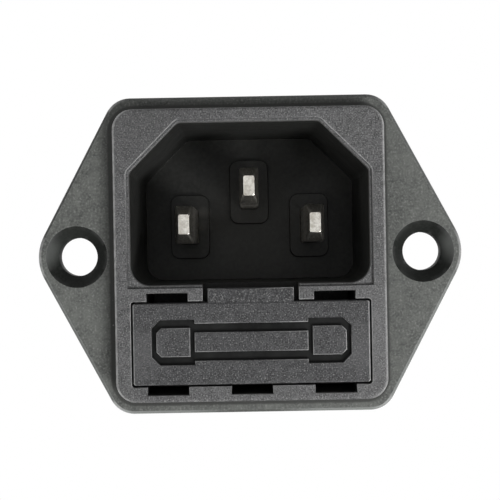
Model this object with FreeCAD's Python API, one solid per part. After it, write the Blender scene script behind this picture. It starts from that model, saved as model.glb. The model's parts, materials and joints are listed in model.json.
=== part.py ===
import FreeCAD, Part
import math
import os
from FreeCAD import Vector

# Panel inlet: a C14 socket above a pull-out fuse drawer, in one moulded housing with a screw flange.
# Seen from the front, X is to the right and Z is up. Y runs back through the panel.
# The origin is midway between the two screw holes, on the flange face that seats on the panel.
# All sizes are in millimetres.

# Flange and bezel
hole_pitch = 36.0
screw_hole_diameter = 4.0
countersink_diameter = 6.4
nose_reach = 4.0  # from a screw hole's centre to the end of the flange
nose_radius = 4.8  # round end of the flange
flange_height = 32.85
flange_top_width = 27.8  # between the points where the slanted sides would meet the top edge
flange_corner_radius = 2.7
flange_thickness = 2.8
flange_rim_chamfer = 0.3
bezel_width = 27.8
bezel_height = 30.0
bezel_rise = 2.2
bezel_corner_radius = 2.1
bezel_rim_radius = 0.35

# Socket cavity
socket_width = 24.4
socket_height = 16.5
socket_base = -3.0  # height of its lower wall, from the line through the screw holes
socket_chamfer = 5.0
socket_chamfer_blend = 0.8
socket_corner_radius = 2.0
socket_depth = 18.4
rebate_width = 0.35
rebate_depth = 0.3

# Contact pins
pin_pitch = 14.0
pin_thickness = 2.0
pin_width = 4.0
pin_edge_radius = 0.25
pin_row_rise = 6.25  # line and neutral pins, above the socket's lower wall
earth_pin_rise = 4.0  # earth pin, above the other two
pin_setback = 4.7  # tips of line and neutral, behind the bezel
earth_pin_lead = 0.5
tip_length = 1.3
tip_thickness = 1.2
tip_width = 2.1
boss_width = 4.5
boss_height = 7.4
boss_rise = 0.8
boss_corner_radius = 1.0
spigot_diameter = 1.8
spigot_head_diameter = 2.8
spigot_head_height = 0.4

# Body behind the panel
body_width = 27.2
body_top = 15.0
body_bottom = -15.3
body_corner_radius = 0.8
chamfer_wall = 1.6  # wall outside the socket's chamfered corners
floor_thickness = 2.2
bay_depth = 1.4  # room for the straps behind the floor
bay_wall = 1.7
cover_seat = 0.6  # ledge that the rear cover rests on
cover_thickness = 1.4
cover_gap = 0.1
cover_corner_radius = 0.6

# Fuse drawer
drawer_drop = 1.87  # from the socket's lower wall to the drawer's top edge
drawer_face_width = 24.2
drawer_face_height = 8.36
drawer_face_thickness = 2.0
drawer_face_corner_radius = 0.3
drawer_edge_chamfer = 0.12
face_gap = 0.17
pull_tab_width = 8.8
pull_tab_rise = 1.42
pull_tab_step = 0.1
pull_tab_gap = 0.5
pull_tab_room = 2.2  # finger space behind the pull tab
notch_width = 4.2
notch_pitch = 8.55
notch_reach = 1.0
tray_wall = 1.0
tray_floor = 1.0
tray_rim_rise = 1.0
tray_clearance = 0.15
bed_inset = 0.3  # the bed for the working fuse is this much narrower than the fuse at each side
bed_wall_rise = 1.3
bed_rail_height = 1.6
seat_drop = 0.65
guide_setback = 6.0  # the guide ribs start this far behind the drawer's face
guide_clearance = 0.15
seat_thickness = 1.0
clip_width = 3.0
clip_wall = 0.8
clip_mouth_angle = 80.0

# Fuse symbol sunk in the drawer's face
symbol_depth = 0.45
symbol_rise = 0.17  # above the middle of the face
symbol_cap_pitch = 15.96
symbol_cap_width = 4.36
symbol_cap_height = 4.6
symbol_cap_chamfer = 0.85
symbol_body_height = 3.77
symbol_long_groove = 0.88
symbol_end_groove = 0.45
symbol_cap_groove = 0.82
symbol_joint_groove = 0.45
symbol_island_chamfer = 0.5

# Fuses, 5 x 20
fuse_length = 20.0
cap_diameter = 5.2
cap_length = 5.0
cap_end = 0.3
cap_edge_chamfer = 0.2
glass_diameter = 4.8
glass_wall = 0.5
wire_diameter = 0.25
fuse_pitch = 8.2  # from the spare fuse back to the working fuse
fuse_clearance = 0.1

# Contact springs and terminals
spring_thickness = 0.3
spring_width = 4.0
spring_gap = 0.05
spring_bow = 1.85  # from the leaf's straight part to where it meets the fuse
spring_slope = 25.0
spring_bend_radius = 1.5
spring_fold_radius = 0.5
spring_lead = 2.0
spring_wall_gap = 0.15
window_clearance = 0.1
strap_thickness = 0.8
strap_width = 4.6
strap_fold_radius = 0.8
tab_width = 4.8
tab_reach = 8.0
tab_end_chamfer = 0.8
tab_hole_diameter = 1.4
tab_hole_inset = 3.2
tab_offset = 3.5  # from a pin or rivet to the tab beside it
strap_overhang = 2.2
rivet_diameter = 1.6
rivet_head_diameter = 2.4
rivet_head_height = 0.4
rivet_inset = 3.45  # from the leaf's straight part
slot_clearance = 0.2
collar_wall = 0.9
collar_height = 0.8

# Cutting shapes run this far past what they cut
cut_margin = 1.0
# Edges closer than this to a plane lie in it
same_place = 0.0001

# Places that follow from the sizes above
front_plane = -(flange_thickness + bezel_rise)
floor_plane = front_plane + socket_depth
wall_back = floor_plane + floor_thickness
bay_back = wall_back + bay_depth
body_back = bay_back + cover_thickness
socket_top = socket_base + socket_height
pin_row = socket_base + pin_row_rise
earth_row = pin_row + earth_pin_rise
pin_x = pin_pitch / 2
face_top = socket_base - drawer_drop
face_bottom = face_top - drawer_face_height
face_back = front_plane + drawer_face_thickness
fuse_row = (face_top + face_bottom) / 2
cap_radius = cap_diameter / 2
spare_y = face_back + fuse_clearance + cap_radius
fuse_y = spare_y + fuse_pitch
tray_bottom = fuse_row - cap_radius - fuse_clearance - tray_floor
tray_top = fuse_row + cap_radius + tray_rim_rise
seat_half = cap_radius + fuse_clearance
box_half_width = fuse_length / 2 + fuse_clearance + tray_wall
rear_half_width = fuse_length / 2 - bed_inset
spare_back = spare_y + seat_half
fuse_front = fuse_y - seat_half
fuse_back = fuse_y + seat_half
tray_back = fuse_back + tray_wall
channel_half_width = box_half_width + tray_clearance
channel_bottom = tray_bottom - tray_clearance
channel_top = tray_top + tray_clearance
apex_x = fuse_length / 2 + spring_gap + spring_thickness / 2
leaf_x = apex_x + spring_bow
bay_half_width = leaf_x + spring_thickness / 2 + spring_wall_gap
foot_y = wall_back - spring_thickness / 2
strap_y = wall_back + strap_thickness / 2
rivet_x = leaf_x - rivet_inset
tab_end = body_back + tab_reach


def outline(corners, y):
    """Face in the plane at depth y. Each corner is (x, z) or (x, z, radius)."""
    count = len(corners)
    turns = []
    for index, corner in enumerate(corners):
        here = Vector(corner[0], y, corner[1])
        radius = corner[2] if len(corner) > 2 else 0
        if not radius:
            turns.append((here, None, here))
            continue
        before = corners[index - 1]
        after = corners[(index + 1) % count]
        to_before = (Vector(before[0], y, before[1]) - here).normalize()
        to_after = (Vector(after[0], y, after[1]) - here).normalize()
        half_angle = to_before.getAngle(to_after) / 2
        tangent = radius / math.tan(half_angle)
        inward = (to_before + to_after).normalize()
        middle = here + inward * (radius / math.sin(half_angle) - radius)
        turns.append((here + to_before * tangent, middle, here + to_after * tangent))
    edges = []
    for index, (start, middle, end) in enumerate(turns):
        if middle:
            edges.append(Part.Arc(start, middle, end).toShape())
        following = turns[(index + 1) % count][0]
        if (following - end).Length > 1e-6:
            edges.append(Part.makeLine(end, following))
    return Part.Face(Part.Wire(edges))


def slab(face, depth):
    """Solid swept from a face towards the back."""
    return face.extrude(Vector(0, depth, 0))


def block(x_low, x_high, y_low, y_high, z_low, z_high):
    return Part.makeBox(x_high - x_low, y_high - y_low, z_high - z_low, Vector(x_low, y_low, z_low))


def centred_block(width, y_low, y_high, z_low, z_high, x_middle=0.0):
    return block(x_middle - width / 2, x_middle + width / 2, y_low, y_high, z_low, z_high)


def rod_along_x(diameter, x_low, x_high, y, z):
    return Part.makeCylinder(diameter / 2, x_high - x_low, Vector(x_low, y, z), Vector(1, 0, 0))


def rod_along_y(diameter, y_low, y_high, x, z):
    return Part.makeCylinder(diameter / 2, y_high - y_low, Vector(x, y_low, z), Vector(0, 1, 0))


def rectangle(width, z_low, z_high, radius, x_middle=0.0):
    left = x_middle - width / 2
    right = x_middle + width / 2
    return [(left, z_low, radius), (right, z_low, radius), (right, z_high, radius), (left, z_high, radius)]


def edges_at_depth(solid, y):
    """Edges that lie wholly in the plane at depth y."""
    return [edge for edge in solid.Edges
            if abs(edge.BoundBox.YMin - y) < same_place and abs(edge.BoundBox.YMax - y) < same_place]


def edges_along_y(solid, y_low, y_high):
    """Straight edges that run from one depth to the other."""
    return [edge for edge in solid.Edges
            if abs(edge.BoundBox.YMin - y_low) < same_place and abs(edge.BoundBox.YMax - y_high) < same_place
            and edge.BoundBox.XLength < same_place and edge.BoundBox.ZLength < same_place]


def mirrored(solid):
    """The same piece on the other side of the YZ plane."""
    return solid.mirror(Vector(0, 0, 0), Vector(1, 0, 0))


def folded_strip(start, heading, moves, thickness):
    """Face of a bent strip seen edge on, in a plane of (u, v) coordinates.

    start is the centreline's first point and heading its direction in degrees.
    Each move is ("run", length) or ("bend", radius, angle), and a positive angle turns left.
    """
    half = thickness / 2
    u, v = start
    angle = math.radians(heading)
    left_edges = []
    right_edges = []

    def side_point(offset):
        return Vector(u - offset * math.sin(angle), v + offset * math.cos(angle), 0)

    first_left = side_point(half)
    first_right = side_point(-half)
    for move in moves:
        start_left = side_point(half)
        start_right = side_point(-half)
        if move[0] == "run":
            u += move[1] * math.cos(angle)
            v += move[1] * math.sin(angle)
            left_edges.append(Part.makeLine(start_left, side_point(half)))
            right_edges.append(Part.makeLine(start_right, side_point(-half)))
            continue
        radius, turn = move[1], math.radians(move[2])
        side = math.copysign(1, turn)
        centre_u = u - side * radius * math.sin(angle)
        centre_v = v + side * radius * math.cos(angle)
        halfway = []
        for share in (0.5, 1.0):
            angle_now = angle + turn * share
            u = centre_u + side * radius * math.sin(angle_now)
            v = centre_v - side * radius * math.cos(angle_now)
            if share == 0.5:
                for offset in (half, -half):
                    halfway.append(Vector(u - offset * math.sin(angle_now),
                                          v + offset * math.cos(angle_now), 0))
        angle += turn
        left_edges.append(Part.Arc(start_left, halfway[0], side_point(half)).toShape())
        right_edges.append(Part.Arc(start_right, halfway[1], side_point(-half)).toShape())
    closing = [Part.makeLine(side_point(half), side_point(-half)), Part.makeLine(first_right, first_left)]
    return Part.Face(Part.Wire(Part.__sortEdges__(left_edges + right_edges + closing)))


# Housing

def flange_corners():
    """The slanted sides are tangent to the round ends beyond the screw holes."""
    half_top = flange_top_width / 2
    half_height = flange_height / 2
    nose_x = hole_pitch / 2 + nose_reach - nose_radius
    reach = math.hypot(nose_x - half_top, half_height)
    slant = math.atan2(half_height, nose_x - half_top) - math.asin(nose_radius / reach)
    nose_tip = nose_x + nose_radius / math.sin(slant)
    return [(-nose_tip, 0, nose_radius), (-half_top, -half_height, flange_corner_radius),
            (half_top, -half_height, flange_corner_radius), (nose_tip, 0, nose_radius),
            (half_top, half_height, flange_corner_radius), (-half_top, half_height, flange_corner_radius)]


def flange_plate():
    plate = slab(outline(flange_corners(), -flange_thickness), flange_thickness)
    return plate.makeChamfer(flange_rim_chamfer, edges_at_depth(plate, -flange_thickness))


def screw_hole(x):
    countersink_depth = (countersink_diameter - screw_hole_diameter) / 2
    hole = rod_along_y(screw_hole_diameter, -flange_thickness - cut_margin, cut_margin, x, 0)
    cone = Part.makeCone(countersink_diameter / 2, screw_hole_diameter / 2, countersink_depth,
                         Vector(x, -flange_thickness, 0), Vector(0, 1, 0))
    mouth = rod_along_y(countersink_diameter, -flange_thickness - cut_margin, -flange_thickness, x, 0)
    return hole.fuse([cone, mouth])


def bezel_plateau():
    half_height = bezel_height / 2
    corners = rectangle(bezel_width, -half_height, half_height, bezel_corner_radius)
    plateau = slab(outline(corners, front_plane), bezel_rise + flange_thickness / 2)
    return plateau.makeFillet(bezel_rim_radius, edges_at_depth(plateau, front_plane))


def socket_corners(growth=0.0, blend=socket_chamfer_blend, base_radius=socket_corner_radius):
    """Socket outline: chamfered at the top and rounded at the bottom."""
    half = socket_width / 2 + growth
    top = socket_top + growth
    cut = socket_chamfer + growth * (2 - math.sqrt(2))
    return [(-half, socket_base - growth, base_radius), (half, socket_base - growth, base_radius),
            (half, top - cut, blend), (half - cut, top, blend),
            (-half + cut, top, blend), (-half, top - cut, blend)]


def body_corners():
    """The body's chamfers follow the socket's, one wall thickness outside them."""
    half = body_width / 2
    chamfer_sum = socket_width / 2 + socket_top - socket_chamfer + chamfer_wall * math.sqrt(2)
    shoulder = chamfer_sum - half
    top_half = chamfer_sum - body_top
    radius = body_corner_radius
    return [(-half, body_bottom, radius), (half, body_bottom, radius), (half, shoulder, radius),
            (top_half, body_top, radius), (-top_half, body_top, radius), (-half, shoulder, radius)]


def inset_body_corners(inset, radius):
    """The body's outline moved inwards by one wall, for the strap bay and the cover's seat."""
    half = body_width / 2 - inset
    chamfer_sum = (socket_width / 2 + socket_top - socket_chamfer + (chamfer_wall - inset) * math.sqrt(2))
    top = body_top - inset
    return [(-half, body_bottom + inset, radius), (half, body_bottom + inset, radius),
            (half, chamfer_sum - half, radius), (chamfer_sum - top, top, radius),
            (top - chamfer_sum, top, radius), (-half, chamfer_sum - half, radius)]


def body_shell():
    """Solid outside of the body, with the strap bay and the cover's seat cut in its back."""
    shell = slab(outline(body_corners(), -flange_thickness / 2), body_back + flange_thickness / 2)
    bay = slab(outline(inset_body_corners(bay_wall, body_corner_radius), wall_back), bay_depth + cut_margin)
    seat_inset = bay_wall - cover_seat
    seat_face = outline(inset_body_corners(seat_inset, body_corner_radius), bay_back)
    seat = slab(seat_face, cover_thickness + cut_margin)
    return shell.cut([bay, seat])


def socket_cavity():
    cavity = slab(outline(socket_corners(), front_plane - cut_margin), socket_depth + cut_margin)
    rebate_face = outline(socket_corners(rebate_width, base_radius=0), front_plane - cut_margin)
    return cavity.fuse(slab(rebate_face, rebate_depth + cut_margin))


def pin_places():
    return {"line": (-pin_x, pin_row), "neutral": (pin_x, pin_row), "earth": (0.0, earth_row)}


def pin_boss(x, z):
    half_height = boss_height / 2
    corners = rectangle(boss_width, z - half_height, z + half_height, boss_corner_radius, x)
    return slab(outline(corners, floor_plane - boss_rise), boss_rise + floor_thickness / 2)


def pin_passage(x, z):
    half = pin_width / 2
    front, back = floor_plane - boss_rise - cut_margin, wall_back + cut_margin
    passage = centred_block(pin_thickness, front, back, z - half, z + half, x)
    return passage.makeFillet(pin_edge_radius, edges_along_y(passage, front, back))


def notch_places(top):
    """The two guide grooves above the drawer and the three below it."""
    return (-notch_pitch, notch_pitch) if top else (-notch_pitch, 0.0, notch_pitch)


def drawer_channel():
    """Everything that is cut away for the drawer, from the bezel back to the floor."""
    face_room = rectangle(drawer_face_width + 2 * face_gap, face_bottom - face_gap, face_top + face_gap,
                          drawer_face_corner_radius)
    recess = slab(outline(face_room, front_plane - cut_margin), drawer_face_thickness + cut_margin)
    channel = block(-channel_half_width, channel_half_width, front_plane, floor_plane,
                    channel_bottom, channel_top)
    grooves = []
    for x in notch_places(top=True):
        grooves.append(centred_block(notch_width, front_plane - cut_margin, floor_plane,
                                     fuse_row, face_top + notch_reach, x))
    for x in notch_places(top=False):
        grooves.append(centred_block(notch_width, front_plane - cut_margin, floor_plane,
                                     face_bottom - notch_reach, fuse_row, x))
    tab_room_back = front_plane + drawer_face_thickness + pull_tab_room
    tab_room = centred_block(pull_tab_width + 2 * pull_tab_gap, front_plane - cut_margin, tab_room_back,
                             fuse_row, socket_base + cut_margin)
    return recess.fuse([channel, tab_room] + grooves)


def spring_bay():
    """Side bay, floor window and foot recess for the right-hand contact spring."""
    half = spring_width / 2 + window_clearance
    low, high = fuse_row - half, fuse_row + half
    bay_front = spring_tip_y() - spring_wall_gap
    bay = block(channel_half_width - cut_margin, bay_half_width, bay_front, floor_plane, low, high)
    window_low = fuse_length / 2
    window = block(window_low, bay_half_width, floor_plane - cut_margin, wall_back + cut_margin, low, high)
    foot_low = rivet_x - rivet_head_diameter / 2 - window_clearance
    foot = block(foot_low, bay_half_width, wall_back - spring_thickness, wall_back + cut_margin, low, high)
    return bay.fuse([window, foot])


def housing():
    places = pin_places().values()
    holes = [screw_hole(-hole_pitch / 2), screw_hole(hole_pitch / 2)]
    solid = flange_plate().fuse([bezel_plateau(), body_shell()]).removeSplitter()
    solid = solid.cut([socket_cavity(), drawer_channel(), spring_bay(), mirrored(spring_bay())] + holes)
    solid = solid.fuse([pin_boss(x, z) for x, z in places])
    solid = solid.cut([pin_passage(x, z) for x, z in places])
    return solid.removeSplitter()


def rear_cover():
    """Plate that closes the strap bay, with a collar around each terminal's slot."""
    inset = bay_wall - cover_seat + cover_gap
    plate = slab(outline(inset_body_corners(inset, cover_corner_radius), bay_back), cover_thickness)
    slots = []
    collars = []
    for x, z, width, height in terminal_sections():
        slot_width = width + 2 * slot_clearance
        slot_height = height + 2 * slot_clearance
        collar_width = slot_width + 2 * collar_wall
        collar_low = z - slot_height / 2 - collar_wall
        collar_high = z + slot_height / 2 + collar_wall
        collar_face = rectangle(collar_width, collar_low, collar_high, collar_wall / 2, x)
        collar_front = bay_back + cover_thickness / 2
        collars.append(slab(outline(collar_face, collar_front), body_back + collar_height - collar_front))
        slots.append(centred_block(slot_width, bay_back - cut_margin, body_back + collar_height + cut_margin,
                                   z - slot_height / 2, z + slot_height / 2, x))
    return plate.fuse(collars).cut(slots).removeSplitter()


# Pins, terminals and contact springs

def contact_pin(x, z, lead=0.0):
    """Rectangular pin with a tapered tip, and a riveted-over spigot at its back."""
    tip = front_plane + pin_setback - lead
    shoulder = tip + tip_length
    half = pin_width / 2
    shank = centred_block(pin_thickness, shoulder, wall_back, z - half, z + half, x)
    shank = shank.makeFillet(pin_edge_radius, edges_along_y(shank, shoulder, wall_back))
    root = outline(rectangle(pin_thickness, z - half, z + half, pin_edge_radius, x), shoulder)
    tip_half = tip_width / 2
    end = outline(rectangle(tip_thickness, z - tip_half, z + tip_half, pin_edge_radius, x), tip)
    nose = Part.makeLoft([end.OuterWire, root.OuterWire], True, True)
    strap_back = wall_back + strap_thickness
    spigot = rod_along_y(spigot_diameter, wall_back, strap_back, x, z)
    head = Part.makeCone(spigot_head_diameter / 2, spigot_diameter / 2, spigot_head_height,
                         Vector(x, strap_back, z), Vector(0, 1, 0))
    return shank.fuse([nose, spigot, head]).removeSplitter()


def tab_moves(base_length, tab_length):
    """A strap that turns once, straight back, to become a push-on tab."""
    fold = strap_fold_radius + strap_thickness / 2
    return [("run", base_length - fold), ("bend", fold, 90.0), ("run", tab_length)]


def tab_length_from(y):
    return tab_end - y - strap_fold_radius - strap_thickness / 2


def trim_tab(solid, x, z, flat_across_x):
    """Chamfer the tab's end corners and punch its locking hole."""
    half = tab_width / 2
    hole_y = tab_end - tab_hole_inset
    reach = strap_thickness * 2
    corner = tab_end_chamfer
    cutters = []
    for side in (-1, 1):
        if flat_across_x:
            points = [Vector(x + side * half, tab_end - corner, z - reach),
                      Vector(x + side * half, tab_end, z - reach),
                      Vector(x + side * (half - corner), tab_end, z - reach)]
            direction = Vector(0, 0, 2 * reach)
        else:
            points = [Vector(x - reach, tab_end - corner, z + side * half),
                      Vector(x - reach, tab_end, z + side * half),
                      Vector(x - reach, tab_end, z + side * (half - corner))]
            direction = Vector(2 * reach, 0, 0)
        cutters.append(Part.Face(Part.makePolygon(points + points[:1])).extrude(direction))
    if flat_across_x:
        foot, direction = Vector(x, hole_y, z - reach), Vector(0, 0, 1)
    else:
        foot, direction = Vector(x - reach, hole_y, z), Vector(1, 0, 0)
    hole = Part.makeCylinder(tab_hole_diameter / 2, 2 * reach, foot, direction)
    return solid.cut(cutters + [hole])


def strap_hole(diameter, x, z):
    """Cutting shape for a hole through whatever lies against the back of the floor."""
    return rod_along_y(diameter, wall_back - cut_margin, wall_back + cut_margin, x, z)


def sideways_terminal(rivet_at, z, side, hole_diameter):
    """Terminal whose strap runs along X from its rivet, and whose tab stands on edge."""
    base = strap_overhang + tab_offset
    moves = tab_moves(base, tab_length_from(strap_y))
    face = folded_strip((-strap_overhang, strap_y), 0.0, moves, strap_thickness)
    strip = face.extrude(Vector(0, 0, tab_width))
    strip.translate(Vector(0, 0, z - tab_width / 2))
    if side < 0:
        strip = mirrored(strip)
    strip.translate(Vector(rivet_at, 0, 0))
    strip = trim_tab(strip, rivet_at + side * tab_offset, z, flat_across_x=False)
    return strip.cut(strap_hole(hole_diameter, rivet_at, z))


def neutral_terminal():
    return sideways_terminal(pin_x, pin_row, 1, spigot_diameter)


def load_terminal():
    return sideways_terminal(rivet_x, fuse_row, -1, rivet_diameter)


def earth_terminal():
    """Terminal whose strap runs up from the earth pin, and whose tab lies flat."""
    base = strap_overhang + tab_offset
    face = folded_strip((0.0, strap_y), 0.0, tab_moves(base, tab_length_from(strap_y)), strap_thickness)
    strip = face.extrude(Vector(0, 0, tab_width))
    strip.rotate(Vector(0, 0, 0), Vector(0, 1, 0), -90)
    strip.translate(Vector(tab_width / 2, 0, earth_row - strap_overhang))
    strip = trim_tab(strip, 0.0, earth_row + tab_offset, flat_across_x=True)
    return strip.cut(strap_hole(spigot_diameter, 0.0, earth_row))


def terminal_sections():
    """Middle, width and height of each tab where it passes through the rear cover."""
    return [(0.0, earth_row + tab_offset, tab_width, strap_thickness),
            (pin_x + tab_offset, pin_row, strap_thickness, tab_width),
            (rivet_x - tab_offset, fuse_row, strap_thickness, tab_width)]


def line_feed_strap():
    """Flat link from the line pin down to the left-hand contact spring."""
    top = Vector(-pin_x, wall_back, pin_row)
    foot = Vector(-rivet_x, wall_back, fuse_row)
    along = (foot - top).normalize()
    across = Vector(along.z, 0, -along.x)
    half = strap_width / 2
    corners = []
    for end, direction, sides in ((top, -1, (1, -1)), (foot, 1, (-1, 1))):
        for side in sides:
            corner = end + along * (direction * half) + across * (side * half)
            corners.append((corner.x, corner.z, half))
    strap = slab(outline(corners, wall_back), strap_thickness)
    return strap.cut([strap_hole(spigot_diameter, -pin_x, pin_row),
                      strap_hole(rivet_diameter, -rivet_x, fuse_row)])


def spring_slope_run():
    """Straight stretch of the leaf between its two bends."""
    slope = math.radians(spring_slope)
    sideways = spring_bow - 2 * spring_bend_radius * (1 - math.cos(slope))
    return sideways / math.sin(slope)


def spring_bend_y():
    """Depth at which the leaf starts to bend towards the fuse."""
    slope = math.radians(spring_slope)
    return fuse_y + 2 * spring_bend_radius * math.sin(slope) + spring_slope_run() * math.cos(slope)


def spring_tip_y():
    slope = math.radians(spring_slope)
    return fuse_y - spring_bend_radius * math.sin(slope) - spring_lead * math.cos(slope)


def fuse_spring():
    """Right-hand leaf spring: a foot behind the floor, and a bowed leaf against the fuse cap's end."""
    foot_start = rivet_x - rivet_head_diameter / 2
    fold = spring_fold_radius
    moves = [("run", leaf_x - fold - foot_start), ("bend", fold, -90.0),
             ("run", foot_y - fold - spring_bend_y()),
             ("bend", spring_bend_radius, -spring_slope), ("run", spring_slope_run()),
             ("bend", spring_bend_radius, 2 * spring_slope), ("run", spring_lead)]
    face = folded_strip((foot_start, foot_y), 0.0, moves, spring_thickness)
    leaf = face.extrude(Vector(0, 0, spring_width))
    leaf.translate(Vector(0, 0, fuse_row - spring_width / 2))
    return leaf.cut(strap_hole(rivet_diameter, rivet_x, fuse_row))


def spring_rivet():
    """Rivet that joins the right-hand spring's foot to its strap."""
    strap_back = wall_back + strap_thickness
    shank = rod_along_y(rivet_diameter, wall_back - spring_thickness, strap_back, rivet_x, fuse_row)
    head = Part.makeCone(rivet_head_diameter / 2, rivet_diameter / 2, rivet_head_height,
                         Vector(rivet_x, strap_back, fuse_row), Vector(0, 1, 0))
    return shank.fuse(head).removeSplitter()


# Fuse drawer

def chamfered_cap(x_inner, x_outer, half_height, chamfer):
    """One end cap of the fuse symbol: square towards the middle, chamfered towards the outside."""
    side = math.copysign(1, x_outer)
    return [(x_inner, fuse_row - half_height), (x_outer - side * chamfer, fuse_row - half_height),
            (x_outer, fuse_row - half_height + chamfer), (x_outer, fuse_row + half_height - chamfer),
            (x_outer - side * chamfer, fuse_row + half_height), (x_inner, fuse_row + half_height)]


def fuse_symbol():
    """The groove that draws a fuse: its outer shape less three raised islands."""
    middle = symbol_cap_pitch / 2
    inner = middle - symbol_cap_width / 2
    outer = middle + symbol_cap_width / 2
    half_body = symbol_body_height / 2
    top = front_plane - cut_margin
    depth = symbol_depth + cut_margin
    band = [(-middle, fuse_row - half_body), (middle, fuse_row - half_body),
            (middle, fuse_row + half_body), (-middle, fuse_row + half_body)]
    groove = slab(outline(band, top), depth)
    island_half = half_body - symbol_long_groove
    islands = [block(-inner, inner, top, top + depth, fuse_row - island_half, fuse_row + island_half)]
    for side in (-1, 1):
        half_cap = symbol_cap_height / 2
        cap = chamfered_cap(side * inner, side * outer, half_cap, symbol_cap_chamfer)
        groove = groove.fuse(slab(outline(cap, top), depth))
        island = chamfered_cap(side * (inner + symbol_joint_groove), side * (outer - symbol_end_groove),
                               half_cap - symbol_cap_groove, symbol_island_chamfer)
        islands.append(slab(outline(island, top), depth))
    groove = groove.cut(islands).removeSplitter()
    groove.translate(Vector(0, 0, symbol_rise))
    return groove


def drawer_face():
    """Face plate with its pull tab and the sunk fuse symbol."""
    corners = rectangle(drawer_face_width, face_bottom, face_top, drawer_face_corner_radius)
    plate = slab(outline(corners, front_plane), drawer_face_thickness)
    plate = plate.makeChamfer(drawer_edge_chamfer, edges_at_depth(plate, front_plane))
    tab = centred_block(pull_tab_width, front_plane + pull_tab_step, face_back,
                        fuse_row, face_top + pull_tab_rise)
    rim = [edge for edge in edges_at_depth(tab, front_plane + pull_tab_step)
           if edge.BoundBox.ZMax > face_top]
    return plate.fuse(tab.makeChamfer(drawer_edge_chamfer, rim)).cut(fuse_symbol())


def tray_shell():
    """Open-topped tray: a closed box for the spare fuse, and a narrower bed for the working fuse."""
    overlap = drawer_face_thickness / 2
    floor_top = tray_bottom + tray_floor
    inner_half_width = box_half_width - tray_wall
    box = block(-box_half_width, box_half_width, face_back - overlap, spare_back + tray_wall,
                tray_bottom, tray_top)
    box = box.cut(block(-inner_half_width, inner_half_width, face_back, spare_back,
                        floor_top, tray_top + cut_margin))
    pieces = [block(-rear_half_width, rear_half_width, spare_back, tray_back, tray_bottom, floor_top)]
    wall_top = fuse_row + bed_wall_rise
    for y_low, y_high in ((fuse_front - tray_wall, fuse_front), (fuse_back, tray_back)):
        pieces.append(block(-rear_half_width, rear_half_width, y_low, y_high, tray_bottom, wall_top))
    for side in (-1, 1):
        x_ends = sorted((side * rear_half_width, side * (rear_half_width - tray_wall)))
        rail = block(x_ends[0], x_ends[1], spare_back, tray_back, tray_bottom, floor_top + bed_rail_height)
        saddle = rod_along_x(2 * seat_half, x_ends[0] - cut_margin, x_ends[1] + cut_margin, fuse_y, fuse_row)
        pieces.append(rail.cut(saddle))
    return box.fuse(pieces)


def fuse_seat(x, y):
    """Half-round saddle under a fuse cap."""
    saddle = centred_block(seat_thickness, y - seat_half, y + seat_half, tray_bottom + tray_floor / 2,
                           fuse_row - seat_drop, x)
    return saddle.cut(rod_along_x(2 * seat_half, x - seat_thickness, x + seat_thickness, y, fuse_row))


def fuse_clip(y):
    """Round clip that the glass snaps into, open at the top."""
    inner = glass_diameter / 2 + fuse_clearance
    ring = rod_along_x(2 * (inner + clip_wall), -clip_width / 2, clip_width / 2, y, fuse_row)
    ring = ring.cut(rod_along_x(2 * inner, -clip_width, clip_width, y, fuse_row))
    reach = 2 * (inner + clip_wall)
    half_mouth = math.radians(clip_mouth_angle / 2)
    spread = reach * math.tan(half_mouth)
    mouth = Part.Face(Part.makePolygon([
        Vector(-clip_width, y, fuse_row), Vector(-clip_width, y + spread, fuse_row + reach),
        Vector(-clip_width, y - spread, fuse_row + reach), Vector(-clip_width, y, fuse_row)]))
    ring = ring.cut(mouth.extrude(Vector(2 * clip_width, 0, 0)))
    room = centred_block(clip_width, y - seat_half, y + seat_half, tray_bottom + tray_floor / 2, tray_top)
    return ring.common(room)


def guide_ribs():
    """Two short lugs above and three ribs below, so that the drawer only goes in one way up."""
    width = notch_width - 2 * guide_clearance
    ribs = []
    lug_top = face_top + notch_reach - guide_clearance
    for x in notch_places(top=True):
        ribs.append(centred_block(width, spare_back, spare_back + tray_wall, fuse_row, lug_top, x))
    rib_bottom = face_bottom - notch_reach + guide_clearance
    for x in notch_places(top=False):
        ribs.append(centred_block(width, front_plane + guide_setback, tray_back,
                                  rib_bottom, tray_bottom + tray_floor / 2, x))
    return ribs


def fuse_drawer():
    pieces = guide_ribs()
    for y in (spare_y, fuse_y):
        pieces.append(fuse_clip(y))
        for side in (-1, 1):
            pieces.append(fuse_seat(side * (fuse_length - cap_length) / 2, y))
    return drawer_face().fuse([tray_shell()] + pieces).removeSplitter()


# Fuses

def fuse_tube(y):
    half = fuse_length / 2 - cap_end
    tube = rod_along_x(glass_diameter, -half, half, y, fuse_row)
    bore_end = half + cut_margin
    return tube.cut(rod_along_x(glass_diameter - 2 * glass_wall, -bore_end, bore_end, y, fuse_row))


def fuse_cap(y, side):
    """Drawn metal cap over one end of the glass."""
    outer_end = side * fuse_length / 2
    mouth = side * (fuse_length / 2 - cap_length)
    low, high = sorted((outer_end, mouth))
    cap = rod_along_x(cap_diameter, low, high, y, fuse_row)
    rim = [edge for edge in cap.Edges
           if max(abs(edge.BoundBox.XMin - outer_end), abs(edge.BoundBox.XMax - outer_end)) < same_place]
    cap = cap.makeChamfer(cap_edge_chamfer, rim)
    bore_low, bore_high = sorted((side * (fuse_length / 2 - cap_end), mouth - side))
    return cap.cut(rod_along_x(glass_diameter, bore_low, bore_high, y, fuse_row))


def fuse_wire(y):
    half = fuse_length / 2 - cap_end
    return rod_along_x(wire_diameter, -half, half, y, fuse_row)


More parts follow.
